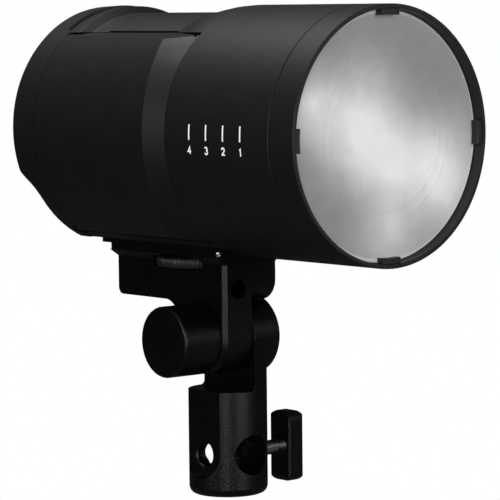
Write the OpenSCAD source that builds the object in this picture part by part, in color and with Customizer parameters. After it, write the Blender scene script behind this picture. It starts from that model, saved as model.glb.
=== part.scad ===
// Monolight strobe: a battery-powered studio flash head on a tilting stand adapter.
// The origin is the centre of the spigot socket's mouth. +X is the way the flash fires,
// +Z is up the spigot, and the side the battery slides out of is +Y. All sizes are in millimetres.

/* [Head] */
// Height of the lens axis above the socket's mouth
lens_z = 147.5; // [147:0.1:148.5]
// Outer radius of the barrel
head_r = 50; // [49.9:0.1:50.2]
// Front rim of the head
front_x = 98.3; // [96:0.1:104]
// Length of the separate front ring
ring_len = 14; // [12.5:0.5:15]
// Seam between the barrel and the side covers
seam_x = 23.3; // [23:0.1:24]
// Seam between the rear cap and the top bridge
cap_x = -61.7; // [-62.5:0.1:-61.6]
// Rear face of the head
rear_x = -78.7; // [-79.5:0.1:-78.5]
// Radius of the lowered top bridge
bridge_r = 47.2; // [46.8:0.1:48]
// Height of the head's flat bottom under the lens axis
belly_z = 45.4; // [45.2:0.1:45.6]
// Half width of the side covers at the lens axis
cover_half = 53.5; // [53.2:0.1:54]
// Radius of the side covers across the head
cover_r = 58; // [57:0.5:60]
// Wall of the moulded covers
wall = 2.4; // [2.2:0.1:2.6]

/* [Front glass] */
// Depth of the glass below the rim
glass_recess = 4; // [3.5:0.1:5]
// Thickness of the glass
glass_t = 3.8; // [3:0.1:4.2]
// Radius of the glass
glass_r = 47.9; // [47.6:0.1:48]
// Width of each glass clip
clip_w = 9.2; // [7:0.1:11]

/* [Rear panel] */
// Radius of the control panel
panel_r = 43; // [42.5:0.1:43]
// Radius of the control dial
dial_r = 10.5; // [9:0.1:10.8]
// Radius of the push buttons
button_r = 4; // [3.6:0.1:4.2]

/* [Stand adapter] */
// Height of the tilt axis above the socket's mouth
tilt_z = 64; // [64:0.1:64.4]
// Width of the tilt bracket
bracket_w = 27; // [26.6:0.1:27.4]
// Rear end of the tilt bracket
bracket_rear = -53.7; // [-54:0.1:-53]
// Front face of the bracket and radius of its hub
hub_r = 14.7; // [14.5:0.1:14.8]
// Radius of the umbrella shaft's hole
umbrella_r = 3.9; // [3.6:0.1:4]
// Radius of the tilt knob
knob_r = 14.3; // [13.6:0.1:14.6]
// Length of the tilt knob
knob_len = 17.8; // [15:0.1:20]
// Radius of the thumbwheel
wheel_r = 19.2; // [18.6:0.1:19.4]

/* [Spigot socket] */
// Outer radius of the socket
socket_r = 16; // [15.8:0.1:16.2]
// Bore for a 16 mm spigot
bore_r = 8.15; // [8.1:0.01:8.25]
// Depth of the spigot bore
bore_depth = 40; // [38:0.5:41]
// Height of the cross bore
cross_z = 16.8; // [16:0.1:18]
// Height of the socket's shoulder under the ear
shoulder_z = 42.6; // [42.2:0.1:43.4]

/* [Hidden] */
$fn = 96;
gap = 0.3;                              // clearance round the push buttons
run = 0.05;                             // radial running clearance of a shaft
ring_x = front_x - ring_len;            // seam of the front ring
glass_x = front_x - glass_recess;       // outer face of the glass
bridge_z = 39.5;                        // lower edge of the top bridge, from the lens axis
floor_z = belly_z - 2.5;                // inside of the flat bottom, from the lens axis
cover_x = 12.8;                         // front edge of the side covers
cover_dy = cover_r - cover_half;        // the cover's axis is off the lens axis by this much
cover_tilt = atan(cover_dy / (cover_x - cap_x));
panel_x = rear_x + 0.2;                 // outer face of the control panel
panel_low = -12.4;                      // lower edge of the control panel, from the lens axis
foot_z = 97;                            // joint between head foot and adapter plate
plate_z = 91.5;                         // joint between adapter plate and bracket
tongue_top = tilt_z + 14.4;              // joint between the bracket's block and its tongue
tongue_y = 0.7;                         // inner face of the tongue
ear_y = 1;                              // face of the socket's ear that the tongue turns against
ear_out = 15.3;                         // outer face of the ear
boss_r = 7;                             // pivot boss on the ear
wing_z = cross_z - 1;                   // axis of the clamp screw
flat_y = -12.6;                         // depth of the flat milled on the socket
flat_r = 9.86;                          // round lower end of the flat
umbrella_y = -6.3;                      // axis of the umbrella shaft's hole
umbrella_z = tilt_z + 20.2;
bracket_screw_at = [[-47, 9], [-36, 9], [8, 9]];
foot_screw_at = [for (x = [-50, 6]) for (y = [-11, 11]) [x, y]];
pin_x = hub_r - 0.7;                    // guide pins at the foot's front corners
pin_y = 15.6;
wheel_x = -14.5;                        // thumbwheel and mounting stud
stud_r = 3.175;                         // quarter-inch stud
insert_r = 5;                           // threaded insert for the stud
bolt_r = 4;                             // M8 tilt bolt
screw_r = 3;                            // M6 wing screw
tip_r = 1.5;                            // spigot of the clamp screw's loose tip
wing_half = 6;                          // half width of the wing handle
wing_reach = 14.65;                     // half its length
wing_y = [27.5, 35.7];                  // its two faces
lug_r = 42;                             // screws that hold the bulkhead
tube_r = 19;                            // ring of the flash tube
tube_t = 2.8;                           // half thickness of the tube
battery_x = [-59.5, 9.5];               // ends of the battery's box
battery_y = 12;                         // inner face of the battery's box
shelf_y = 24.6;                         // how far the bay's walls reach under the cover
cell_r = 9.1;
cell_at = [[23.5, -26.5], [30.5, -9.5], [23.5, 7.5], [30.5, 24.5]];
contact_x = -35;                        // first of four battery contacts
contact_z = -12;
contact_step = 7;
release_x = -46;                        // battery release button
release_r = 6.5;
board_x = -70;                          // rear face of the control board
button_at = [[-32.5, 1], [-21, -3], [21, -3], [32.5, 1]];
panel_screw_at = [for (s = [-1, 1]) for (p = [[26, 24], [35.2, -9]]) [s * p[0], p[1]]];
display_y = 18;                         // half width of the display window
display_z = [13.2, 34];                 // its lower and upper edges, from the lens axis
dial_z = -1;                            // dial's axis, from the lens axis
shaft_r = 2.9;                          // dial shaft
port_z = -35;                           // sync and USB sockets, from the lens axis
sync_y = -9;
usb_y = 9;
fan_hole = 21.5;                        // fan's corner holes, from the fan's axis
bank_y = -29.5;                         // capacitors
bank_z = 13.4;

// ---------- helpers ----------
module box(a, b) translate(a) cube(b - a);
module xcyl(x0, x1, r, y = 0, z = 0) translate([x0, y, z]) rotate([0, 90, 0]) cylinder(h = x1 - x0, r = r);
module xcone(x0, x1, r0, r1, y = 0, z = 0)
  translate([x0, y, z]) rotate([0, 90, 0]) cylinder(h = x1 - x0, r1 = r0, r2 = r1);
module ycyl(y0, y1, r, x = 0, z = 0) translate([x, y0, z]) rotate([-90, 0, 0]) cylinder(h = y1 - y0, r = r);
module ycone(y0, y1, r0, r1, x = 0, z = 0)
  translate([x, y0, z]) rotate([-90, 0, 0]) cylinder(h = y1 - y0, r1 = r0, r2 = r1);
module zcyl(z0, z1, r, x = 0, y = 0) translate([x, y, z0]) cylinder(h = z1 - z0, r = r);
module xring(x0, x1, ro, ri, y = 0, z = 0) difference() {
  xcyl(x0, x1, ro, y, z);
  xcyl(x0 - 1, x1 + 1, ri, y, z);
}
// Turned about the lens axis: the profile's points are [radius, x]
module xturn() rotate([0, 90, 0]) rotate_extrude() children();
// A profile of [x, z] points, drawn out along Y
module xz_prism(y0, y1) translate([0, y1, 0]) rotate([90, 0, 0]) linear_extrude(y1 - y0) children();
// A profile of [y, z] points, drawn out along X
module yz_prism(x0, x1) translate([x0, 0, 0]) rotate([90, 0, 90]) linear_extrude(x1 - x0) children();
module on_lens_axis() translate([0, 0, lens_z]) children();
module at_tilt() translate([0, 0, tilt_z]) children();

// ---------- spigot socket (fixed to the stand) ----------
module socket_blank() {
  rotate_extrude() polygon([[0, 0], [socket_r - 2.4, 0], [socket_r - 1.3, 0.5], [socket_r - 0.5, 1.4],
                            [socket_r - 0.1, 2.5], [socket_r, 3.2], [socket_r, shoulder_z], [0, shoulder_z]]);
  intersection() {
    zcyl(shoulder_z - 1, tilt_z, socket_r);
    box([-20, -1, shoulder_z - 1], [20, ear_out, tilt_z]);
  }
  at_tilt() {
    ycyl(ear_y, ear_out - 0.8, socket_r - 0.2);
    ycone(ear_out - 0.8, ear_out, socket_r - 0.2, socket_r - 1);
    ycyl(-3, ear_y + 0.5, boss_r);
  }
}
module stand_socket() color([0.06, 0.06, 0.065]) difference() {
  socket_blank();
  // face that the bracket's tongue turns against, with its rounded root, outside the pivot boss
  difference() {
    union() {
      box([-20, -20, shoulder_z + 2], [20, ear_y, tilt_z + 20]);
      box([-20, -20, shoulder_z], [20, ear_y - 2, shoulder_z + 3]);
      xcyl(-20, 20, 2, ear_y - 2, shoulder_z + 2);
    }
    at_tilt() ycyl(-3, 2, boss_r);
  }
  zcyl(-1, bore_depth, bore_r);
  xcyl(-20, 20, bore_r, 0, cross_z);
  // milled flat with a round lower end, and the small hole opposite the clamp screw
  box([-11, -20, cross_z], [11, flat_y, shoulder_z + 1]);
  ycyl(-20, flat_y, flat_r, 0, cross_z);
  ycyl(-20, 0, 4.8, 0, cross_z);
  ycone(flat_y - 1, flat_y + 1, 6.5, 4.5, 0, cross_z);
  ycyl(0, 20, screw_r + 0.06, 0, wing_z);
  at_tilt() ycyl(-4, 13.8, bolt_r + 0.06);
}

// ---------- tilt bracket ----------
module block_profile(front_round) difference() {
  translate([bracket_rear, tongue_top]) square([hub_r - bracket_rear, plate_z - tongue_top]);
  difference() {
    translate([bracket_rear - 1, tongue_top - 1]) square([4, 4]);
    translate([bracket_rear + 3, tongue_top + 3]) circle(3);
  }
  difference() {
    translate([hub_r - front_round, tongue_top - 1]) square([front_round + 1, front_round + 1]);
    translate([hub_r - front_round, tongue_top + front_round]) circle(front_round);
  }
}
// Bevel down the front edge of block, tongue and plate
module front_bevel(z0, z1) translate([hub_r, -bracket_w / 2, z0]) rotate([0, 0, 45])
  translate([-1.2, -3, 0]) cube([2.4, 6, z1 - z0]);
module bracket_screw(p, c) {
  zcyl(plate_z - 4, plate_z + 3, 1.5 + c, p[0], p[1]);
  zcyl(plate_z - 6.5, plate_z - 3.9, 2.8 + c, p[0], p[1]);
}
module tilt_bracket() color([0.05, 0.05, 0.055]) difference() {
  union() {
    xz_prism(tongue_y, bracket_w / 2) block_profile(9);
    xz_prism(-bracket_w / 2, tongue_y) block_profile(0.01);
  }
  front_bevel(tongue_top - 1, plate_z + 1);
  // room for the ear and the neck at any tilt, hole for the umbrella shaft, blind hole for the stud
  at_tilt() ycyl(tongue_y, bracket_w / 2 + 1, socket_r + 0.8);
  xcyl(-80, 40, umbrella_r, umbrella_y, umbrella_z);
  zcyl(plate_z - 2.8, plate_z + 1, stud_r + run, wheel_x);
  // screws, whose heads go in from below
  for (p = bracket_screw_at) {
    bracket_screw(p, 0.15);
    zcyl(tongue_top - 1, plate_z - 6, 2.95, p[0], p[1]);
  }
}
module bracket_tongue() color([0.05, 0.05, 0.055]) difference() {
  xz_prism(-bracket_w / 2, tongue_y) {
    translate([-hub_r, tilt_z]) square([2 * hub_r, tongue_top - tilt_z]);
    // the hub, whose top is taken off where it meets the block
    difference() {
      translate([0, tilt_z]) circle(hub_r);
      translate([-hub_r, tongue_top]) square([2 * hub_r, hub_r]);
    }
    difference() {
      translate([-hub_r - 8, tongue_top - 8]) square([8.5, 8]);
      translate([-hub_r - 8, tongue_top - 8]) circle(8);
    }
  }
  front_bevel(tilt_z, tongue_top + 1);
  // bevel round the hub
  difference() {
    box([-20, -bracket_w / 2 - 1, tilt_z - 20], [20, -bracket_w / 2 + 1.7, tilt_z]);
    at_tilt() ycone(-bracket_w / 2 - 2, -bracket_w / 2 + 1.7, hub_r - 3.7, hub_r);
  }
  // bearing for the ear's boss, and hole for the bolt
  at_tilt() {
    ycyl(-3.4, 2, boss_r + run);
    ycyl(-20, 0, bolt_r + run);
  }
}
module bracket_screws() color([0.55, 0.55, 0.56]) for (p = bracket_screw_at) difference() {
  bracket_screw(p, 0);
  translate([p[0], p[1], plate_z - 7]) cylinder(h = 2.4, r = 1.6, $fn = 6);
}

// ---------- adapter plate and thumbwheel ----------
module adapter_plate() color([0.05, 0.05, 0.055]) difference() {
  w = bracket_w / 2;
  intersection() {
    yz_prism(-80, hub_r) polygon([[-w, plate_z], [w, plate_z], [w, plate_z + 2.8], [w + 2.5, foot_z],
                                  [-w - 2.5, foot_z], [-w, plate_z + 2.8]]);
    xz_prism(-20, 20) polygon([[bracket_rear, plate_z], [hub_r, plate_z], [hub_r, foot_z],
                               [bracket_rear - 2.5, foot_z], [bracket_rear, plate_z + 2.8]]);
  }
  // bevel of the front corner, in line with the bracket's
  front_bevel(plate_z - 1, plate_z + 2.8);
  // window for the thumbwheel and hole for its stud
  box([wheel_x - 15.5, -20, plate_z - 1], [wheel_x + 15.5, 20, plate_z + 4.6]);
  zcyl(plate_z - 1, plate_z + 4.6, wheel_r + 0.4, wheel_x);
  zcyl(plate_z, foot_z + 1, stud_r + 0.3, wheel_x);
  for (p = bracket_screw_at) zcyl(plate_z - 1, plate_z + 3.2, 1.5, p[0], p[1]);
}
module thumbwheel() color([0.09, 0.09, 0.09]) difference() {
  translate([wheel_x, 0, 0]) rotate_extrude()
    polygon([[stud_r, plate_z + 0.4], [wheel_r - 0.5, plate_z + 0.4], [wheel_r, plate_z + 0.9],
             [wheel_r, plate_z + 3.9], [wheel_r - 0.5, plate_z + 4.4], [stud_r, plate_z + 4.4]]);
  // thumb grooves round the rim
  for (i = [0:17]) translate([wheel_x, 0, plate_z]) rotate([0, 0, 20 * i])
    translate([wheel_r + 0.35, 0, 0]) cylinder(h = 6, r = 0.9, $fn = 6);
}
module mount_stud() color([0.7, 0.7, 0.72]) translate([wheel_x, 0, 0]) rotate_extrude()
  polygon([[0, plate_z - 2.6], [stud_r, plate_z - 2.6], [stud_r, foot_z + 3.9], [stud_r - 0.7, foot_z + 4.6],
           [0, foot_z + 4.6]]);

// ---------- foot of the head ----------
module mount_foot() color([0.07, 0.07, 0.075]) difference() {
  union() {
    box([-55.2, -16, foot_z], [hub_r, 16, foot_z + 3.2]);
    box([-58.5, -18, foot_z + 3], [hub_r, 18, lens_z - belly_z]);
  }
  zcyl(foot_z - 1, foot_z + 10, insert_r, wheel_x);
  for (p = foot_screw_at) {
    zcyl(foot_z - 1, foot_z + 10, 1.5, p[0], p[1]);
    zcyl(foot_z - 1, foot_z + 2, 3, p[0], p[1]);
  }
  for (s = [-1, 1]) zcyl(foot_z - 1, foot_z + 3.3, 1.9, pin_x, s * pin_y);
}
module foot_screws() color([0.55, 0.55, 0.56]) for (p = foot_screw_at) difference() {
  union() {
    zcyl(foot_z + 0.3, foot_z + 2, 2.8, p[0], p[1]);
    zcyl(foot_z + 2, lens_z - floor_z - 0.2, 1.5, p[0], p[1]);
  }
  translate([p[0], p[1], foot_z]) cylinder(h = 1.2, r = 1.5, $fn = 6);
}
module thread_insert() color([0.72, 0.6, 0.35]) difference() {
  zcyl(foot_z + 0.2, foot_z + 5, insert_r, wheel_x);
  zcyl(foot_z - 1, foot_z + 6, stud_r + run, wheel_x);
}
module guide_pins() color([0.8, 0.8, 0.8]) for (s = [-1, 1]) translate([pin_x, s * pin_y, foot_z])
  rotate_extrude()
    polygon([[0, 0.4], [1.8, 0.4], [1.3, 1.2], [1.3, 1.7], [1.6, 2.1], [1.5, 2.7], [0.9, 3], [0, 3]]);

// ---------- tilt clamp ----------
module thrust_washer() color([0.6, 0.6, 0.62]) difference() {
  at_tilt() ycyl(-bracket_w / 2 - 1.7, -bracket_w / 2 - 0.1, 11.5);
  at_tilt() ycyl(-20, 0, bolt_r + run);
}
module bolt_shape() at_tilt() {
  ycyl(-28, 13.5, bolt_r);
  translate([0, -28, 0]) rotate([-90, 0, 0]) cylinder(h = 5.5, r = 7, $fn = 6);
}
module tilt_bolt() color([0.7, 0.7, 0.72]) bolt_shape();
module tilt_knob() color([0.05, 0.05, 0.055]) difference() {
  y0 = -bracket_w / 2 - 1.8;
  at_tilt() rotate([90, 0, 0]) rotate_extrude()
    polygon([[0, -y0], [knob_r - 0.3, -y0], [knob_r, -y0 + 0.3], [knob_r, -y0 + knob_len - 0.8],
             [knob_r - 0.25, -y0 + knob_len - 0.25], [knob_r - 0.8, -y0 + knob_len], [0, -y0 + knob_len]]);
  bolt_shape();
  at_tilt() difference() {
    ycyl(y0 - 5, y0 + 1, 12);
    ycyl(y0 - 6, y0 + 2, 9);
  }
}

// ---------- spigot clamp ----------
module clamp_tip() color([0.75, 0.62, 0.3]) {
  ycyl(8.5, 10.4, 2.7, 0, wing_z);
  ycyl(10.4, 13.4, tip_r, 0, wing_z);
}
module wing_shaft() color([0.75, 0.75, 0.76]) difference() {
  ycyl(10.7, wing_y[0] + 2, screw_r, 0, wing_z);
  ycyl(10, 13.8, tip_r + run, 0, wing_z);
}
module round_rect(a, b, r) {
  translate([a[0] + r, a[1]]) square([b[0] - a[0] - 2 * r, b[1] - a[1]]);
  translate([a[0], a[1] + r]) square([b[0] - a[0], b[1] - a[1] - 2 * r]);
  for (x = [a[0] + r, b[0] - r]) for (y = [a[1] + r, b[1] - r]) translate([x, y]) circle(r);
}
// A bar rounded in all three views, on a short cone
module wing_handle() color([0.07, 0.07, 0.07]) difference() {
  union() {
    ycone(24.8, wing_y[0] + 0.4, 3.3, 4.6, 0, wing_z);
    intersection() {
      xz_prism(wing_y[0], wing_y[1])
        round_rect([-wing_half, wing_z - wing_reach], [wing_half, wing_z + wing_reach], 4);
      yz_prism(-wing_half, wing_half)
        round_rect([wing_y[0], wing_z - wing_reach], [wing_y[1], wing_z + wing_reach], 2.6);
      linear_extrude(wing_z + wing_reach) round_rect([-wing_half, wing_y[0]], [wing_half, wing_y[1]], 1.2);
    }
  }
  ycyl(20, wing_y[0] + 2, screw_r, 0, wing_z);
}

// ---------- main housing ----------
module bridge_section() polygon([
  [head_r - 0.1, cap_x + 0.2], [head_r, cap_x + 6], [bridge_r, cap_x + 9], [bridge_r, seam_x - 21.5],
  [bridge_r + 0.25, seam_x - 18.9], [bridge_r + 0.8, seam_x - 15.8], [head_r - 1.3, seam_x - 12.7],
  [head_r - 0.4, seam_x - 6.5], [head_r, seam_x + 0.3], [head_r - 2.5, seam_x + 2],
  [bridge_r - 2.5, seam_x - 20], [bridge_r - 2.5, cap_x + 0.2]]);
module barrel_section() polygon([
  [head_r - 0.3, seam_x], [head_r, seam_x + 0.3], [head_r, ring_x - 0.4], [head_r - 0.3, ring_x - 0.1],
  [head_r - 2.5, ring_x - 0.1], [head_r - 2.5, seam_x]]);
module core_housing() color([0.09, 0.09, 0.09]) on_lens_axis() {
  difference() {
    union() {
      xturn() barrel_section();
      intersection() {
        xturn() bridge_section();
        box([-80, -60, bridge_z], [seam_x + 1, 60, 60]);
      }
      // flat bottom, with a little draft along its edges
      intersection() {
        xcone(cap_x + 0.2, seam_x + 0.3, head_r - 0.3, head_r);
        box([-80, -60, -belly_z], [seam_x + 1, 60, -floor_z]);
      }
      // lugs for the bulkhead
      for (a = [45:90:315]) rotate([a, 0, 0]) intersection() {
        box([45, -4, 38], [52, 4, 60]);
        xcyl(40, 60, head_r - 1);
      }
    }
    for (a = [45:90:315]) rotate([a, 0, 0]) xcyl(44, 53, 1.5, 0, lug_r);
    // holes for the foot's screws and insert
    for (p = foot_screw_at) zcyl(-60, -30, 1.5, p[0], p[1]);
    zcyl(-60, -30, insert_r, wheel_x);
    // slots along the lower edges of the bridge
    for (s = [-1, 1]) box([-42, s * 26 - 3, bridge_z - 1], [3, s * 26 + 3, bridge_z + 0.5]);
  }
}

// ---------- side covers and rear cap ----------
// The cover's surface is a cone whose axis leans away from the lens axis towards the front
module cover_cone(t) translate([cap_x, 0, 0]) rotate([0, 0, cover_tilt]) translate([-6, 0, 0])
  rotate([0, 90, 0]) cylinder(h = 96, r1 = head_r + 0.5 - t - 6 * (cover_r - head_r - 0.5) / 74.5,
                              r2 = head_r + 0.5 - t + 90 * (cover_r - head_r - 0.5) / 74.5);
module cover_band(t, inner) polygon([[-62, 33.5 - t], [-26, bridge_z - 0.2 - t], [-inner, bridge_z - 0.2 - t],
  [-inner, -floor_z + 0.3 + t], [-26, -floor_z + 0.3 + t], [-62, -36.4 + t]]);
module cover_limit(t) xturn() polygon([[0, cap_x], [62, cap_x], [62, -9.9 - 2.71 * t],
  [head_r - 0.2 - t, seam_x - 0.2], [head_r - 0.2 - t, seam_x - 0.2 + t], [0, seam_x - 0.2 + t]]);
module cover(t, inner) intersection() {
  cover_cone(t);
  cover_limit(t);
  yz_prism(-80, 40) cover_band(t, inner);
}
module cap_section(t) polygon([[0, rear_x + t], [46 - t, rear_x + t], [47.8 - t, rear_x + 0.35 + t],
  [49.1 - t, rear_x + 1.2 + t], [49.8 - t, rear_x + 2.5 + t], [head_r - t, rear_x + 4 + t],
  [head_r + 0.5 - t, cap_x], [0, cap_x]]);
// Side view of the space the rear may fill: the lower part is cut back in an S
module rear_profile(t) polygon([[rear_x - 1, 60], [rear_x - 1, -13.2 + t], [rear_x + t, -13.2 + t],
  [rear_x + 0.6 + t, -15.4 + t / 2], [rear_x + 2.1 + t, -17.4 + t / 2], [rear_x + 4.6 + t, -19.8 + t / 2],
  [rear_x + 7.1 + t, -22.3 + t / 2], [rear_x + 8.9 + t, -24.8 + t / 3], [rear_x + 9.7 + t, -27.4],
  [rear_x + 10 + t, -30], [rear_x + 10 + t, -belly_z + t], [40, -belly_z + t], [40, 60]]);
module rear_solid(t, inner) intersection() {
  union() {
    xturn() cap_section(t);
    cover(t, inner);
  }
  xz_prism(-70, 70) rear_profile(t);
}
module panel_outline(c) intersection() {
  xcyl(-90, -60, panel_r + c);
  box([-90, -60, panel_low - c], [-60, 60, 60]);
}
module rear_shell() color([0.08, 0.08, 0.08]) on_lens_axis() difference() {
  union() {
    difference() {
      rear_solid(0, 24);
      rear_solid(wall, 5);
      box([cap_x - 3, -30, -60], [60, 60, 60]);
    }
    intersection() {
      difference() {
        xcyl(cap_x - 3.1, cap_x, head_r - 0.8);
        xcyl(cap_x - 4, cap_x + 1, head_r - wall);
      }
      box([-90, -60, -floor_z], [0, 60, 60]);
    }
    intersection() {
      rear_solid(0, 24);
      box([cap_x - 3.1, -60, -60], [cap_x, 60, -floor_z]);
    }
    intersection() {
      difference() {
        cover(0, 24);
        cover(wall, 5);
      }
      box([cap_x - 1, -60, -60], [60, -24, 60]);
    }
    // ledge behind the control panel
    intersection() {
      xring(panel_x + 2.6, panel_x + 4, 47.8, panel_r - 2);
      box([-90, -60, panel_low], [-60, 60, 60]);
    }
  }
  intersection() {
    panel_outline(0.3);
    box([-90, -60, -60], [panel_x + 2.55, 60, 60]);
  }
  xcyl(-80, -60, 3.6, sync_y, port_z);
  box([-80, usb_y - 5, port_z - 2.2], [-60, usb_y + 5, port_z + 2.2]);
  // notch where the cover, the bridge and the barrel meet
  box([seam_x - 4.5, -33, 36.4], [seam_x - 0.8, -28.5, 41]);
}

// ---------- control panel ----------
module rear_panel() color([0.04, 0.04, 0.045]) on_lens_axis() difference() {
  intersection() {
    panel_outline(0);
    box([panel_x, -60, -60], [panel_x + 2.5, 60, 60]);
  }
  box([-90, -display_y - 0.2, display_z[0] - 0.2], [-60, display_y + 0.2, display_z[1] + 0.2]);
  xcyl(-90, -60, shaft_r + gap, 0, dial_z);
  xcyl(-90, panel_x + 0.6, dial_r + 0.8, 0, dial_z);
  for (p = button_at) xcyl(-90, -60, button_r + gap, p[0], p[1]);
}
module panel_screws() color([0.55, 0.55, 0.56]) on_lens_axis() for (p = panel_screw_at) difference() {
  union() {
    xcyl(panel_x + 2.5, board_x, 2, p[0], p[1]);
    xcyl(board_x + 1.6, board_x + 3.4, 2.4, p[0], p[1]);
    xcyl(board_x, board_x + 1.6, 1.1, p[0], p[1]);
  }
  translate([board_x + 2.6, p[0], p[1]]) rotate([0, 90, 0]) cylinder(h = 1, r = 1.2, $fn = 6);
}
module display_window() color([0.02, 0.02, 0.03]) on_lens_axis()
  box([panel_x + 0.1, -display_y, display_z[0]], [panel_x + 1.3, display_y, display_z[1]]);
module display_module() color([0.2, 0.2, 0.22]) on_lens_axis() {
  box([panel_x + 1.4, -display_y + 1, display_z[0] + 0.8], [-74, display_y - 1, display_z[1] - 0.8]);
  box([-74, -12, 16], [-73.2, 12, 31]);
}
module control_board() color([0.05, 0.25, 0.12]) on_lens_axis() {
  difference() {
    intersection() {
      xcyl(board_x, board_x + 1.6, 39.5);
      box([-90, -60, -12], [-60, 60, 60]);
    }
    for (p = panel_screw_at) xcyl(-80, -60, 1.2, p[0], p[1]);
    xcyl(-80, -60, 3.3, 0, dial_z);
  }
  // switches under the push buttons
  for (p = button_at) box([board_x - 0.8, p[0] - 2, p[1] - 2], [board_x, p[0] + 2, p[1] + 2]);
  // chips and the rotary encoder behind the dial
  box([board_x + 1.6, -8, 8], [board_x + 4.4, 8, 22]);
  box([board_x + 1.6, -26, 4], [board_x + 4, -14, 12]);
  box([board_x + 1.6, 13, 6], [board_x + 5, 23, 13]);
  difference() {
    box([board_x + 1.6, -7, dial_z - 7], [board_x + 7.4, 7, dial_z + 7]);
    xcyl(-80, board_x + 6.6, 3.3, 0, dial_z);
  }
}
module dial_shaft() color([0.7, 0.7, 0.72]) on_lens_axis() xcyl(-83, -66, shaft_r, 0, dial_z);
module control_dial() color([0.06, 0.06, 0.06]) on_lens_axis() translate([0, 0, dial_z]) difference() {
  xturn() polygon([[0, -84.6], [dial_r - 3, -84.6], [dial_r - 2.6, -84.9], [dial_r - 0.6, -84.9],
                   [dial_r, -84.3], [dial_r, -79.8], [0, -79.8]]);
  xcyl(-83.3, -79, shaft_r + run);
  // grip grooves
  for (i = [0:17]) rotate([20 * i, 0, 0]) translate([-86, 0, dial_r + 0.3]) rotate([0, 90, 0])
    cylinder(h = 5.4, r = 0.7, $fn = 6);
}
module push_button(i) color([0.12, 0.12, 0.12]) on_lens_axis() {
  y = button_at[i][0];
  z = button_at[i][1];
  xcyl(-79.3, panel_x + 2.8, button_r, y, z);
  xcyl(panel_x + 2.8, panel_x + 3.8, button_r + 0.8, y, z);
  xcyl(panel_x + 3.8, -71.8, 1.5, y, z);
}
module sync_jack() color([0.5, 0.5, 0.52]) on_lens_axis() difference() {
  xcyl(-68.9, -59.5, 3.4, sync_y, port_z);
  xcyl(-71, -61, 1.8, sync_y, port_z);
}
module usb_port() color([0.6, 0.6, 0.62]) on_lens_axis() {
  difference() {
    box([-68.6, usb_y - 4.7, port_z - 1.9], [-61.5, usb_y + 4.7, port_z + 1.9]);
    box([-71, usb_y - 4.3, port_z - 1.5], [-62, usb_y + 4.3, port_z + 1.5]);
  }
  box([-68, usb_y - 2.8, port_z - 0.3], [-61.8, usb_y + 2.8, port_z + 0.3]);
}

// ---------- front ----------
module front_ring() color([0.09, 0.09, 0.09]) on_lens_axis() xturn() polygon([
  [head_r - 0.3, ring_x + 0.1], [head_r, ring_x + 0.4], [head_r, front_x - 0.35], [head_r - 0.35, front_x],
  [head_r - 1.5, front_x], [head_r - 1.7, front_x - 0.2], [head_r - 1.7, glass_x - glass_t - 1],
  [44.4, glass_x - glass_t - 1], [44.4, glass_x - glass_t - 2.6], [head_r - 5, ring_x - 6],
  [head_r - 2.7, ring_x - 6], [head_r - 2.7, ring_x + 0.1]]);
module glass_clips() color([0.02, 0.02, 0.02]) on_lens_axis() for (a = [0:90:270]) rotate([a, 0, 0])
  intersection() {
    xring(glass_x, front_x - 0.6, head_r - 1.7, head_r - 4.1);
    box([80, -clip_w / 2, 0], [110, clip_w / 2, 60]);
  }
module front_glass() color([0.85, 0.87, 0.88, 0.6]) on_lens_axis() xturn()
  polygon([[0, glass_x - glass_t], [glass_r - 0.3, glass_x - glass_t], [glass_r, glass_x - glass_t + 0.3],
           [glass_r, glass_x - 0.3], [glass_r - 0.3, glass_x], [0, glass_x]]);
module glass_seal() color([0.1, 0.1, 0.1]) on_lens_axis()
  xring(glass_x - glass_t - 1, glass_x - glass_t, head_r - 2.2, 44.8);
module reflector() color([0.85, 0.85, 0.86]) on_lens_axis() difference() {
  xturn() polygon([
    [44.2, glass_x - glass_t - 1.2], [31, 68], [28.5, 68], [27.4, 62.6], [24, 57.4], [19, 54], [12.2, 52.6],
    [12.2, 51.4], [19.4, 52.8], [24.9, 56.6], [28.5, 62], [29.5, 66.9], [31.6, 66.9], [44.2, 86.9]]);
  for (s = [-1, 1]) xcyl(50, 60, 3.4, s * tube_r, 0);
}
module flash_tube() color([0.9, 0.92, 0.95, 0.6]) on_lens_axis() {
  difference() {
    translate([63.6, 0, 0]) xturn() translate([tube_r, 0]) circle(tube_t, $fn = 32);
    box([60, -2.5, -30], [68, 2.5, 0]);
  }
  for (s = [-1, 1]) xcyl(49, 63.6, tube_t - 0.2, s * tube_r, 0);
}
module tube_socket() color([0.92, 0.9, 0.85]) on_lens_axis() difference() {
  union() {
    xcyl(44.5, 48, 26);
    for (s = [-1, 1]) xcyl(48, 50.4, 5, s * tube_r, 0);
  }
  xcyl(44, 51, 10.6);
  for (s = [-1, 1]) xcyl(49, 52, tube_t - 0.2, s * tube_r, 0);
}
module modelling_led() color([0.9, 0.8, 0.3]) on_lens_axis() {
  xcyl(51, 52.2, 9.6);
  xcyl(52.2, 52.8, 7.2);
}
module led_heatsink() color([0.6, 0.61, 0.63]) on_lens_axis() {
  xcyl(24.6, 51, 10);
  for (i = [0:11]) rotate([30 * i, 0, 0]) box([24.6, -0.7, 9.5], [41.6, 0.7, 37]);
}
module bulkhead() color([0.12, 0.12, 0.12]) on_lens_axis() difference() {
  xcyl(42, 44.5, head_r - 2.8);
  xcyl(40, 46, 10.3);
  for (a = [45:90:315]) rotate([a, 0, 0]) xcyl(40, 46, 1.6, 0, lug_r);
}
module bulkhead_screws() color([0.55, 0.55, 0.56]) on_lens_axis() for (a = [45:90:315]) rotate([a, 0, 0])
  difference() {
    union() {
      xcyl(42, 50, 1.5, 0, lug_r);
      xcyl(40.2, 42, 2.8, 0, lug_r);
    }
    translate([39.9, 0, lug_r]) rotate([0, 90, 0]) cylinder(h = 1.2, r = 1.4, $fn = 6);
  }
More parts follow.
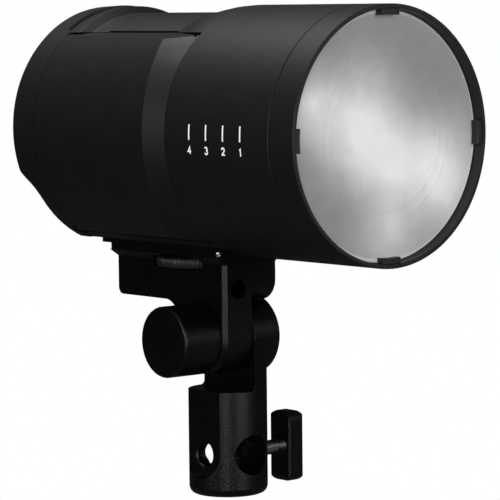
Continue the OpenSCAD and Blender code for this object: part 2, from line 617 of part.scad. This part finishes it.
module trigger_coil() color([0.75, 0.4, 0.15]) on_lens_axis() {
  xcyl(44.5, 56, 5, 0, 33.6);
  xcyl(44.5, 46, 7, 0, 33.6);
  xcyl(55, 56.5, 6, 0, 33.6);
}

// ---------- cooling fan ----------
module fan_frame() color([0.07, 0.07, 0.07]) on_lens_axis() {
  difference() {
    box([12.5, -25, -25], [22.5, 25, 25]);
    xcyl(10, 24, 23.6);
    for (y = [-fan_hole, fan_hole]) for (z = [-fan_hole, fan_hole]) xcyl(10, 24, 1.7, y, z);
  }
  for (a = [45:90:315]) rotate([a, 0, 0]) box([20.8, -1.2, 5], [22.5, 1.2, 23.9]);
  xcyl(20.8, 22.5, 9);
  xcyl(14, 21, 1.5);
}
module fan_rotor() color([0.15, 0.15, 0.15]) on_lens_axis() difference() {
  union() {
    xcyl(13, 20.3, 8.6);
    for (i = [0:6]) rotate([360 / 7 * i, 0, 0]) translate([16.5, 0, 15.2]) rotate([0, 0, 38])
      cube([8, 1.1, 15], center = true);
  }
  xcyl(13.7, 24, 1.5 + run);
}

// ---------- power electronics ----------
module power_board() color([0.05, 0.25, 0.12]) on_lens_axis() {
  box([-56, -12.6, -36], [8, -11, 36]);
  box([-50, -11, -30], [-38, -3, -18]);
  box([-34, -11, -32], [-28, 2, -14]);
  for (x = [-22, -10, 2]) ycyl(-11, -1, 4, x, -26);
  box([-52, -11, 16], [-44, -6, 32]);
  for (i = [0:2]) box([-12 + 7 * i, -11, 14], [-8 + 7 * i, -2, 30]);
}
module charge_transformer() color([0.7, 0.45, 0.15]) on_lens_axis() {
  box([-38, -10.9, -9], [-18, 4, -3]);
  box([-38, -10.9, 3], [-18, 4, 9]);
  box([-37, -10, -3], [-34, 3, 3]);
  box([-22, -10, -3], [-19, 3, 3]);
  xcyl(-34, -22, 5.6, -3.4, 0);
}
module capacitor_bank() color([0.06, 0.1, 0.2]) on_lens_axis() for (s = [-1, 1]) {
  xcyl(-56, 6, 13, bank_y, s * bank_z);
  for (y = [-4, 4]) xcyl(6, 9, 0.9, bank_y + y, s * bank_z);
}
module battery_bay() color([0.1, 0.1, 0.1]) on_lens_axis() difference() {
  union() {
    box([-61, 9.4, -41.9], [11.4, 11.4, 38.6]);
    box([-61, 9.4, 37], [11.4, shelf_y, 38.6]);
    box([-61, 9.4, -42.5], [11.4, shelf_y, -41]);
    box([10, 9.4, -42], [11.4, shelf_y, 38.6]);
    box([-61.4, 9.4, -42], [-60, shelf_y, 38.6]);
  }
  box([-40, 8, -16], [-10, 12, -8]);
}
module bay_contacts() color([0.85, 0.7, 0.3]) on_lens_axis() {
  box([-39.8, 8, -15.8], [-10.2, 10.6, -8.2]);
  for (i = [0:3]) ycyl(10.6, 11.7, 1, contact_x + contact_step * i, contact_z);
}
module battery_leads() color([0.6, 0.05, 0.05]) on_lens_axis() {
  ycyl(-11, 8, 1.2, -31, -11.4);
  ycyl(-11, 8, 1.2, -15, -14);
}

// ---------- battery ----------
module mirror_cover(t, inner) mirror([0, 1, 0]) cover(t, inner);
module battery_gauge_area(c) box([-33 - c, 44, -2.6 - c], [-7 + c, 60, 2.6 + c]);
module battery_case() color([0.08, 0.08, 0.08]) on_lens_axis() difference() {
  union() {
    intersection() {
      mirror_cover(0, 25);
      box([cap_x + 0.3, 0, -60], [seam_x - 0.2, 80, 60]);
    }
    box([battery_x[0], battery_y, -40.6], [battery_x[1], 30, 36.6]);
  }
  box([battery_x[0] + 1.6, battery_y + 1.6, -39], [battery_x[1] - 1.6, 29, 35]);
  intersection() {
    mirror_cover(2.4, 10);
    box([battery_x[0] + 1.6, battery_y + 1.6, -39], [battery_x[1] - 1.6, 60, 35]);
  }
  intersection() {
    mirror_cover(2.4, 10);
    box([battery_x[1] + 0.01, 20, -60], [40, 60, 60]);
  }
  intersection() {
    battery_gauge_area(0.1);
    difference() {
      box([-60, 44, -10], [0, 60, 10]);
      mirror_cover(0.9, 10);
    }
  }
  ycyl(40, 60, release_r + 0.3, release_x, 0);
  for (i = [0:3]) contact_box(i, 10, 2);
}
module contact_box(i, y0, half) translate([contact_x + contact_step * i, 0, contact_z])
  box([-half, y0, -half], [half, battery_y + 0.5, half]);
module battery_cells() color([0.15, 0.3, 0.55]) on_lens_axis() for (c = cell_at)
  xcyl(-57.4, 7.4, cell_r, c[0], c[1]);
module battery_contacts() color([0.85, 0.7, 0.3]) on_lens_axis() for (i = [0:3])
  contact_box(i, battery_y + 0.1, 1.8);
module battery_gauge() color([0.3, 0.35, 0.3]) on_lens_axis() intersection() {
  battery_gauge_area(0);
  difference() {
    mirror_cover(0, 10);
    mirror_cover(0.9, 10);
  }
}
module battery_button() color([0.5, 0.5, 0.5]) on_lens_axis() difference() {
  union() {
    ycyl(45.2, 50.6, release_r, release_x, 0);
    ycyl(44, 45.4, release_r + 1.3, release_x, 0);
  }
  translate([release_x, 66.2, 0]) sphere(16.2);
}

stand_socket();
tilt_bracket();
bracket_tongue();
bracket_screws();
adapter_plate();
mount_foot();
foot_screws();
thread_insert();
guide_pins();
thumbwheel();
mount_stud();
thrust_washer();
tilt_knob();
tilt_bolt();
clamp_tip();
wing_shaft();
wing_handle();
core_housing();
front_ring();
glass_clips();
front_glass();
glass_seal();
reflector();
flash_tube();
tube_socket();
modelling_led();
led_heatsink();
bulkhead();
bulkhead_screws();
trigger_coil();
fan_frame();
fan_rotor();
rear_shell();
rear_panel();
panel_screws();
display_window();
display_module();
control_board();
dial_shaft();
control_dial();
push_button(0);  // button_1
push_button(1);  // button_2
push_button(2);  // button_3
push_button(3);  // button_4
sync_jack();
usb_port();
power_board();
charge_transformer();
capacitor_bank();
battery_bay();
bay_contacts();
battery_leads();
battery_case();
battery_cells();
battery_contacts();
battery_gauge();
battery_button();
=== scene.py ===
"""Looks of the monolight strobe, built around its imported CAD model. Lengths are in metres."""
import math

import bpy
from mathutils import Matrix, Vector


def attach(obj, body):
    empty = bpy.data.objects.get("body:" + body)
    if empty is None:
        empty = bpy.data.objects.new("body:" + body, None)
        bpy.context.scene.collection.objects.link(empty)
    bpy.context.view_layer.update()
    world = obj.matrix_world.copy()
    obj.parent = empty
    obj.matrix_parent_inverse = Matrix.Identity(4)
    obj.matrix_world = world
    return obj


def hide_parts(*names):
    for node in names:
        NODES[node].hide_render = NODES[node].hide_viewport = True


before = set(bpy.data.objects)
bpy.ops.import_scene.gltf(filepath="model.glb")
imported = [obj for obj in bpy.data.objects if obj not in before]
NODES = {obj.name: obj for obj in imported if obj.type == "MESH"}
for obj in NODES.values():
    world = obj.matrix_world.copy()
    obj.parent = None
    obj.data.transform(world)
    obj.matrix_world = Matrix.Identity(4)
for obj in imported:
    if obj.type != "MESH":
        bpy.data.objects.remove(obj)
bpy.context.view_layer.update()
MM = 0.001
LENS_Z = 147.5 * MM          # height of the lens axis
GLASS_R = 47.9               # radius of the front glass, in mm


def add(name, data):
    """A new object in the scene."""
    obj = bpy.data.objects.new(name, data)
    bpy.context.scene.collection.objects.link(obj)
    return obj


def direction(azimuth, elevation):
    """The unit vector at those angles in degrees. Azimuth 0 is on the -Y side and 90 in front."""
    az, el = math.radians(azimuth), math.radians(elevation)
    return Vector((math.sin(az) * math.cos(el), -math.cos(az) * math.cos(el), math.sin(el)))


# ---------------------------------------------------------------- materials


def node(tree, kind, **sockets):
    """A shader node with its inputs set by name, with _ for a space."""
    made = tree.nodes.new(kind)
    for key, value in sockets.items():
        made.inputs[key.replace("_", " ")].default_value = value
    return made


def noise(tree, coords, size, detail=2.0, stretch=(1, 1, 1)):
    """Noise with features of that size in metres."""
    mapping = node(tree, "ShaderNodeMapping", Scale=[s / size for s in stretch])
    tree.links.new(coords.outputs["Object"], mapping.inputs["Vector"])
    tex = node(tree, "ShaderNodeTexNoise", Scale=1.0, Detail=detail)
    tree.links.new(mapping.outputs["Vector"], tex.inputs["Vector"])
    return tex.outputs["Fac"]


def material(name, color, rough, metal=0.0, vary=0.15, patch=0.012, rough_vary=0.06,
             grain=0.0004, grain_depth=0.00002, stretch=(1, 1, 1), **extra):
    """A surface with a fine grain in relief, whose colour and roughness drift over patches."""
    mat = bpy.data.materials.new(name)
    mat.use_nodes = True
    tree = mat.node_tree
    shader = tree.nodes["Principled BSDF"]
    shader.inputs["Metallic"].default_value = metal
    for key, value in extra.items():
        shader.inputs[key.replace("_", " ")].default_value = value
    coords = tree.nodes.new("ShaderNodeTexCoord")
    drift = noise(tree, coords, patch, 3.0, stretch)
    ramp = tree.nodes.new("ShaderNodeValToRGB")
    ramp.color_ramp.elements[0].position = 0.3
    ramp.color_ramp.elements[1].position = 0.7
    for element, gain in zip(ramp.color_ramp.elements, (1 - vary, 1 + vary)):
        element.color = [min(1.0, c * gain) for c in color] + [1]
    tree.links.new(drift, ramp.inputs["Fac"])
    tree.links.new(ramp.outputs["Color"], shader.inputs["Base Color"])
    spread = node(tree, "ShaderNodeMapRange", To_Min=rough - rough_vary, To_Max=rough + rough_vary)
    tree.links.new(noise(tree, coords, patch / 3, 4.0, stretch), spread.inputs["Value"])
    tree.links.new(spread.outputs["Result"], shader.inputs["Roughness"])
    bump = node(tree, "ShaderNodeBump", Strength=1.0, Distance=grain_depth)
    tree.links.new(noise(tree, coords, grain, 2.0, stretch), bump.inputs["Height"])
    tree.links.new(bump.outputs["Normal"], shader.inputs["Normal"])
    return mat


def math_node(tree, operation, first, second, third=None):
    """A Math node on two or three inputs, each a socket or a number."""
    made = tree.nodes.new("ShaderNodeMath")
    made.operation = operation
    for socket, value in zip(made.inputs, (first, second, third)):
        if isinstance(value, float):
            socket.default_value = value
        elif value is not None:
            tree.links.new(value, socket)
    return made.outputs[0]


def round_spot(tree, place, y, z, reach, kind="QUADRATIC_SPHERE"):
    """A soft round spot on the glass, y and z in mm from the lens axis, out to its reach."""
    scale = 1 / (reach * MM)
    mapping = node(tree, "ShaderNodeMapping", Scale=(0, scale, scale),
                   Location=(0, -y * MM * scale, -(LENS_Z + z * MM) * scale))
    tree.links.new(place, mapping.inputs["Vector"])
    spot = tree.nodes.new("ShaderNodeTexGradient")
    spot.gradient_type = kind
    tree.links.new(mapping.outputs["Vector"], spot.inputs["Vector"])
    return spot.outputs["Fac"]


# painted light on the frosted glass: pools of painted light standing in for lamps reflected in the
# reflector behind it and the flash tube's glow; y, z and reach in mm, and how much paler
PAINTED_LIGHT_SPOTS = [(-12, 4, 40, 0.9), (4, -10, 30, 0.6), (27, -12, 38, 0.75),
              (-37, 12, 26, 0.5), (2, -36, 31, 0.5), (32, -24, 28, 0.3)]
GLASS_PAINTED_SHADE = 0.33            # painted shade: how pale the glass is away from the painted light spots
RIM_PAINTED_HIGHLIGHT = 0.4             # painted highlight along the rim: how much paler its rim is
RIM = (0.035, 0.01)          # where that starts and is full, as shares of the radius inwards
CLOUD = 0.011                # how far the noise shifts the spots, in metres
CLOUD_SCALE = 45.0           # features of that noise per metre
PAINTED_GLOW = 0.19               # painted glow: the glass gives out its painted light as emission of this strength


def paint_glass_light(mat):
    """Paints light onto the frosted glass: painted pools of light in front of the flash tube,
    painted shade elsewhere and a painted highlight along its ground edge, all also given out as a
    painted glow.
    """
    tree = mat.node_tree
    shader = tree.nodes["Principled BSDF"]
    was = shader.inputs["Base Color"].links[0].from_socket
    coords = tree.nodes.new("ShaderNodeTexCoord")
    # a slow noise shifts the painted light spots, so that their edges are cloudy
    cloud = node(tree, "ShaderNodeTexNoise", Scale=CLOUD_SCALE, Detail=4.0)
    tree.links.new(coords.outputs["Object"], cloud.inputs["Vector"])
    shift = tree.nodes.new("ShaderNodeVectorMath")
    shift.operation = "MULTIPLY_ADD"
    shift.inputs[1].default_value = (CLOUD, CLOUD, CLOUD)
    tree.links.new(cloud.outputs["Color"], shift.inputs[0])
    tree.links.new(coords.outputs["Object"], shift.inputs[2])
    middle = CLOUD / MM / 2
    painted_light = GLASS_PAINTED_SHADE
    for y, z, reach, gain in PAINTED_LIGHT_SPOTS:
        spot = round_spot(tree, shift.outputs[0], y + middle, z + middle, reach)
        painted_light = math_node(tree, "MULTIPLY_ADD", spot, gain, painted_light)
    away = round_spot(tree, coords.outputs["Object"], 0, 0, GLASS_R, "SPHERICAL")
    # a painted highlight: the glass gets paler towards its rim
    edge = node(tree, "ShaderNodeMapRange", From_Min=RIM[0], From_Max=RIM[1], To_Max=RIM_PAINTED_HIGHLIGHT)
    tree.links.new(away, edge.inputs["Value"])
    painted_light = math_node(tree, "ADD", painted_light, edge.outputs["Result"])
    painted_light = math_node(tree, "MINIMUM", painted_light, 1.0)
    blend = node(tree, "ShaderNodeMix")
    blend.data_type, blend.blend_type = "RGBA", "MULTIPLY"
    blend.inputs[0].default_value = 1.0
    first, second = (i for i in blend.inputs if i.type == "RGBA")
    tree.links.new(was, first)
    tree.links.new(painted_light, second)
    tree.links.new([o for o in blend.outputs if o.type == "RGBA"][0], shader.inputs["Base Color"])
    # the painted light also glows, as emission
    tree.links.new(painted_light, shader.inputs["Emission Color"])
    shader.inputs["Emission Strength"].default_value = PAINTED_GLOW


BLACK_PLASTIC = material("black_moulding", (0.0115, 0.0115, 0.0118), 0.5, grain=0.00035,
                         grain_depth=0.00003)
BLACK_METAL = material("black_anodised", (0.003, 0.003, 0.0031), 0.28, grain=0.00045,
                       grain_depth=0.00011, vary=0.2, rough_vary=0.015)
WHEEL_METAL = material("wheel_anodised", (0.03, 0.03, 0.031), 0.3, grain=0.0003)
INNER = material("inner_moulding", (0.02, 0.02, 0.021), 0.45)
RUBBER = material("rubber_seal", (0.012, 0.012, 0.012), 0.75)
PANEL = material("panel_gloss", (0.004, 0.004, 0.0045), 0.12, rough_vary=0.03,
                 grain_depth=0.000001)
BUTTON = material("button_soft", (0.03, 0.03, 0.031), 0.5)
STEEL = material("steel_turned", (0.62, 0.62, 0.63), 0.24, 1.0, grain=0.0002, stretch=(0.2, 3, 0.2))
ZINC = material("zinc_plated", (0.5, 0.5, 0.52), 0.32, 1.0)
DARK_STEEL = material("steel_blackened", (0.05, 0.05, 0.052), 0.35, 0.8)
BRASS = material("brass_turned", (0.72, 0.53, 0.24), 0.28, 1.0)
REFLECTOR = material("reflector_bright", (0.9, 0.9, 0.91), 0.28, 1.0, vary=0.03, grain=0.0012,
                     grain_depth=0.00004)
HEATSINK = material("heatsink_extruded", (0.55, 0.56, 0.58), 0.35, 1.0, stretch=(0.1, 3, 3))
CERAMIC = material("ceramic_white", (0.82, 0.8, 0.75), 0.55, vary=0.05)
CIRCUIT = material("solder_resist", (0.01, 0.09, 0.035), 0.3, vary=0.5, patch=0.003)
COPPER = material("copper_winding", (0.6, 0.27, 0.1), 0.35, 0.9, grain=0.0005, grain_depth=0.0001,
                  stretch=(4, 0.2, 0.2))
CAPACITOR = material("capacitor_sleeve", (0.012, 0.03, 0.09), 0.25)
PHOSPHOR = material("led_phosphor", (0.8, 0.76, 0.6), 0.5, vary=0.06)
CELL = material("cell_sleeve", (0.03, 0.12, 0.32), 0.28)
LEAD = material("lead_red", (0.35, 0.01, 0.01), 0.35)
GLASS = material("glass_frosted", (0.96, 0.965, 0.97), 0.42, vary=0.06, patch=0.006,
                 rough_vary=0.03, grain=0.0005, grain_depth=0.00003,
                 Transmission_Weight=0.15, IOR=1.35)
paint_glass_light(GLASS)
TUBE = material("tube_quartz", (0.95, 0.96, 0.98), 0.08, vary=0.01, rough_vary=0.02,
                grain_depth=0.000001, Transmission_Weight=1.0, IOR=1.46)
DISPLAY = material("display_cover", (0.006, 0.007, 0.009), 0.06, rough_vary=0.01,
                   grain_depth=0.0000005)
# white print, which also glows through its emission, a painted brightness
WHITE_INK = material("white_ink", (0.92, 0.92, 0.92), 0.5, vary=0.04, patch=0.002,
                     Emission_Color=(1, 1, 1, 1), Emission_Strength=0.55)

LOOKS = {
    BLACK_PLASTIC: "core_housing front_ring rear_shell battery_case control_dial",
    BLACK_METAL: "stand_socket tilt_bracket bracket_tongue adapter_plate mount_foot thumbwheel"
                 " tilt_knob wing_handle",
    INNER: "glass_clips bulkhead fan_frame fan_rotor display_module battery_bay",
    RUBBER: "glass_seal",
    PANEL: "rear_panel battery_gauge",
    BUTTON: "button_1 button_2 button_3 button_4 battery_button",
    STEEL: "guide_pins mount_stud thrust_washer tilt_bolt wing_shaft dial_shaft sync_jack usb_port",
    DARK_STEEL: "clamp_tip",
    ZINC: "bracket_screws foot_screws bulkhead_screws panel_screws",
    BRASS: "thread_insert bay_contacts battery_contacts",
    REFLECTOR: "reflector",
    HEATSINK: "led_heatsink",
    CERAMIC: "tube_socket",
    CIRCUIT: "control_board power_board",
    COPPER: "trigger_coil charge_transformer",
    CAPACITOR: "capacitor_bank",
    PHOSPHOR: "modelling_led",
    CELL: "battery_cells",
    LEAD: "battery_leads",
    GLASS: "front_glass",
    TUBE: "flash_tube",
    DISPLAY: "display_window",
}
for look, names in LOOKS.items():
    for name in names.split():
        mesh = NODES[name].data
        mesh.materials.clear()
        mesh.materials.append(look)

# ---------------------------------------------------------------- edges


WELD_REACH = 0.002           # vertices closer than this in mm are one


def soften(names, width, angle=32, segments=2):
    """Rounds the edges of CAD nodes that turn by more than the angle, by that width in mm."""
    for name in names.split():
        obj = NODES[name]
        weld = obj.modifiers.new("weld", "WELD")
        weld.merge_threshold = WELD_REACH * MM
        bevel = obj.modifiers.new("bevel", "BEVEL")
        bevel.width = width * MM
        bevel.segments = segments
        bevel.limit_method = "ANGLE"
        bevel.angle_limit = math.radians(angle)
        bevel.miter_outer = "MITER_ARC"
        bevel.use_clamp_overlap = True
        bevel.harden_normals = False
        even = obj.modifiers.new("normals", "WEIGHTED_NORMAL")
        even.weight = 60
        even.keep_sharp = True


soften("stand_socket", 0.45)
soften("tilt_bracket bracket_tongue adapter_plate mount_foot", 0.35)
soften("glass_clips battery_button", 0.25)
soften("rear_shell battery_case core_housing", 0.5, 18, 3)
soften("rear_panel", 0.3)

# ---------------------------------------------------------------- pieces added to the CAD model


def mesh_object(name, verts, faces, look, body, smooth=True):
    """A piece that rides on a body and takes a slot's material."""
    data = bpy.data.meshes.new(name)
    data.from_pydata(verts, [], faces)
    data.validate()
    data.polygons.foreach_set("use_smooth", [smooth] * len(data.polygons))
    data.materials.append(look)
    obj = add(name, data)
    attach(obj, body)
    return obj


def ring_mesh(rings, count):
    """Vertices and faces of a closed ring, from loops of count points that close on the first."""
    verts = [v for ring in rings for v in ring]
    faces = []
    for i in range(len(rings)):
        j = (i + 1) % len(rings)
        for k in range(count):
            m = (k + 1) % count
            faces.append((i * count + k, i * count + m, j * count + m, j * count + k))
    return verts, faces


# thumbwheel with a knurled rim, in mm
WHEEL_X, WHEEL_Z, WHEEL_R, STUD_R = -14.5, 91.5, 19.2, 3.2
TEETH, STEPS, TOOTH = 88, 6, 0.42         # teeth, points per tooth and a tooth's depth
# its section: radius, height above the bracket and the knurl's share of its full depth
profile = [(STUD_R, 0.4, 0), (WHEEL_R - 0.9, 0.4, 0), (WHEEL_R - 0.45, 0.55, 0.3),
           (WHEEL_R - 0.1, 0.95, 1), (WHEEL_R, 1.3, 1), (WHEEL_R, 3.5, 1),
           (WHEEL_R - 0.1, 3.85, 1), (WHEEL_R - 0.45, 4.25, 0.3), (WHEEL_R - 0.9, 4.4, 0),
           (STUD_R, 4.4, 0)]
rings = []
for radius, height, depth in profile:
    ring = []
    for k in range(TEETH * STEPS):
        wave = 0.5 - 0.5 * math.cos(2 * math.pi * k / STEPS)
        r = radius - TOOTH * depth * wave ** 0.7
        turn = 2 * math.pi * k / (TEETH * STEPS)
        ring.append(((WHEEL_X + r * math.cos(turn)) * MM, r * math.sin(turn) * MM,
                     (WHEEL_Z + height) * MM))
    rings.append(ring)
verts, faces = ring_mesh(rings, TEETH * STEPS)
wheel = mesh_object("thumbwheel_knurled", verts, faces, WHEEL_METAL, "thumbwheel")
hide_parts("thumbwheel")

# frosted glass, with its edge rounded and two faint ribs pressed into its face, in mm
GLASS_X, GLASS_T = 94.3, 3.8              # its face and its thickness
RIBS, RIB_H, RIB_HALF = (28.0, 32.0), 0.09, 0.45
EDGE_R, BACK_BEVEL, MIDDLE_R = 1.3, 0.4, 0.6
FACE_STEP = 0.35                          # between the loops of the face
ROUND = 160                               # points of a loop
outline = [(MIDDLE_R, 0)]
radius = 2.0
while radius < GLASS_R - EDGE_R - 0.3:
    outline.append((radius, sum(RIB_H * math.exp(-((radius - r) / RIB_HALF) ** 2) for r in RIBS)))
    radius += FACE_STEP
for angle in range(0, 91, 15):
    a = math.radians(angle)
    outline.append((GLASS_R - EDGE_R + EDGE_R * math.sin(a), -EDGE_R + EDGE_R * math.cos(a)))
outline += [(GLASS_R, -GLASS_T + BACK_BEVEL), (GLASS_R - BACK_BEVEL, -GLASS_T),
            (MIDDLE_R, -GLASS_T)]
rings = []
for radius, out in outline:
    rings.append([((GLASS_X + out) * MM, radius * math.cos(2 * math.pi * k / ROUND) * MM,
                   LENS_Z + radius * math.sin(2 * math.pi * k / ROUND) * MM) for k in range(ROUND)])
verts, faces = ring_mesh(rings, ROUND)
# the middle is closed by a disc at each face instead of the bore
last_loop = (len(rings) - 1) * ROUND
faces = faces[:-ROUND] + [tuple(range(ROUND))[::-1], tuple(range(last_loop, last_loop + ROUND))]
glass = mesh_object("front_glass_frosted", verts, faces, GLASS, "head")
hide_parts("front_glass")

# printed scale on the barrel: a line and a digit for each position, in mm
BARREL_R = 50.0
INK_TOP, INK_FOOT = 0.04, -0.2            # the print's height, and how deep it starts
PRINT_X = [38.3, 48.3, 58.3, 68.3]
LINE_FROM, LINE_TO, LINE_PARTS = -1.1, 4.9, 8
DIGIT_Z = -4.95                           # a digit's middle
LINE_HALF, INK_HALF = 0.36, 0.29          # half the width of a line and of a digit's stroke
SHARPEST = 0.45                           # keeps the mitre of a sharp bend short


def arc(x, z, r, start, end, count=10):
    """Points on a circle round x, z, from one angle in degrees to another."""
    turns = (math.radians(start + (end - start) * i / count) for i in range(count + 1))
    return [(x + r * math.cos(t), z + r * math.sin(t)) for t in turns]


# each digit's strokes, from its middle, in mm
DIGITS = {
    "1": [[(-0.45, 0.75), (0.1, 1.15), (0.1, -1.45)]],
    "2": [arc(0, 0.6, 0.78, 175, -30) + [(-0.8, -1.2)], [(-0.95, -1.2), (0.95, -1.2)]],
    "3": [arc(0, 0.66, 0.68, 160, -90), arc(0, -0.6, 0.76, 90, -165)],
    "4": [[(0.35, -1.45), (0.35, 1.2), (-0.85, -0.5), (0.95, -0.5)]],
}


def wrap(x, up, out):
    """A point of the print, up round the barrel's -Y side and out from it, in mm."""
    turn = up / BARREL_R
    r = BARREL_R + out
    return (x * MM, -r * math.cos(turn) * MM, LENS_Z + r * math.sin(turn) * MM)


verts, faces = [], []


def stroke(points, half=INK_HALF):
    """Adds a closed ribbon along points (x, up) to the print, mitred at its bends."""
    first = len(verts)
    count = len(points)
    for i, here in enumerate(points):
        before, after = points[max(i - 1, 0)], points[min(i + 1, count - 1)]
        into = Vector((here[0] - before[0], here[1] - before[1]))
        out_of = Vector((after[0] - here[0], after[1] - here[1]))
        into = into.normalized() if i else out_of.normalized()
        out_of = out_of.normalized() if i < count - 1 else into
        along = (into + out_of).normalized()
        side = Vector((along.y, -along.x)) * (half / max(SHARPEST, along.dot(into)))
        for turn, out in ((-1, INK_FOOT), (1, INK_FOOT), (1, INK_TOP), (-1, INK_TOP)):
            verts.append(wrap(here[0] + turn * side.x, here[1] + turn * side.y, out))
    for i in range(count - 1):
        a = first + 4 * i
        for k in range(4):
            m = (k + 1) % 4
            faces.append((a + k, a + m, a + 4 + m, a + 4 + k))
    last = first + 4 * (count - 1)
    faces.append((first + 3, first + 2, first + 1, first))
    faces.append((last, last + 1, last + 2, last + 3))


for x in PRINT_X:
    stroke([(x, LINE_FROM + (LINE_TO - LINE_FROM) * i / LINE_PARTS)
            for i in range(LINE_PARTS + 1)], LINE_HALF)
for x, digit in zip(PRINT_X, "4321"):
    for line in DIGITS[digit]:
        stroke([(x + p, DIGIT_Z + q) for p, q in line])
mesh_object("barrel_scale", verts, faces, WHITE_INK, "head", smooth=False)

# ---------------------------------------------------------------- stage, light and camera

LIT = Vector((0.01, 0, 0.12))             # the point that the soft boxes look at
FLOOR_Z, FLOOR_HALF = -0.16, 6.0
AIM = Vector((14.92, 0, 99.71)) * MM      # the point that the camera looks at
AZIMUTH, ELEVATION = 49.58, 5.0           # in degrees
ROLL = math.radians(-0.592)
DISTANCE = 1.1139                         # from the camera to that point, in metres


def emitter(name, azimuth, elevation, distance, size, power):
    """A soft box that looks at the object from there. Its size is in metres, its power in watts."""
    toward = direction(azimuth, elevation)
    light = bpy.data.lights.new(name, "AREA")
    light.shape = "RECTANGLE"
    light.size, light.size_y = size
    light.energy = power
    lamp = add(name, light)
    lamp.location = LIT + distance * toward
    lamp.rotation_mode = "QUATERNION"
    lamp.rotation_quaternion = toward.to_track_quat("Z", "Y")


def white_for_camera(tree, dim, out):
    """White where the camera looks straight at it, dim for the rest. Gives the white's socket."""
    path = tree.nodes.new("ShaderNodeLightPath")
    mix = tree.nodes.new("ShaderNodeMixShader")
    tree.links.new(path.outputs["Is Camera Ray"], mix.inputs[0])
    tree.links.new(dim, mix.inputs[1])
    tree.links.new(mix.outputs[0], out)
    return mix.inputs[2]


world = bpy.data.worlds.new("studio")
bpy.context.scene.world = world
world.use_nodes = True
sky = world.node_tree
dim = sky.nodes["Background"]
dim.inputs["Color"].default_value = (1, 1, 1, 1)
dim.inputs["Strength"].default_value = 0.02
bright = node(sky, "ShaderNodeBackground", Color=(1, 1, 1, 1), Strength=1.0)
sky_out = sky.nodes["World Output"].inputs["Surface"]
sky.links.new(bright.outputs[0], white_for_camera(sky, dim.outputs[0], sky_out))

floor_mesh = bpy.data.meshes.new("floor")
floor_mesh.from_pydata([(x * FLOOR_HALF, y * FLOOR_HALF, 0)
                        for x, y in ((-1, -1), (1, -1), (1, 1), (-1, 1))], [], [(0, 1, 2, 3)])
floor = add("floor", floor_mesh)
floor.location.z = FLOOR_Z
pale = bpy.data.materials.new("floor_pale")
pale.use_nodes = True
tree = pale.node_tree
tree.nodes.remove(tree.nodes["Principled BSDF"])
matt = node(tree, "ShaderNodeBsdfDiffuse", Color=(0.1, 0.1, 0.1, 1))
glow = node(tree, "ShaderNodeEmission", Color=(1, 1, 1, 1), Strength=1.0)
floor_out = tree.nodes["Material Output"].inputs["Surface"]
tree.links.new(glow.outputs[0], white_for_camera(tree, matt.outputs[0], floor_out))
floor_mesh.materials.append(pale)

emitter("overhead", -60, 70, 1.0, (0.8, 0.6), 6.6)
emitter("side", 0, 10, 1.6, (0.6, 0.6), 3.2)
emitter("camera_strip", 43, 4, 1.5, (0.16, 0.5), 3.0)
emitter("front", 98, 18, 1.4, (0.6, 0.6), 8.0)
emitter("front_low", 88, 0, 1.4, (0.5, 0.4), 1.2)

camera = bpy.data.cameras.new("camera")
camera.lens = 200.3
camera.sensor_width = 36
camera.clip_start, camera.clip_end = 0.05, 30
eye = add("camera", camera)
bpy.context.scene.camera = eye
back = direction(AZIMUTH, ELEVATION)
level = Vector((0, 0, 1)).cross(back).normalized()
upward = back.cross(level)
right = level * math.cos(ROLL) + upward * math.sin(ROLL)
top = upward * math.cos(ROLL) - level * math.sin(ROLL)
turn = Matrix((right, top, back)).transposed().to_4x4()
eye.matrix_world = Matrix.Translation(AIM + back * DISTANCE) @ turn
bpy.context.scene.view_settings.view_transform = "Standard"
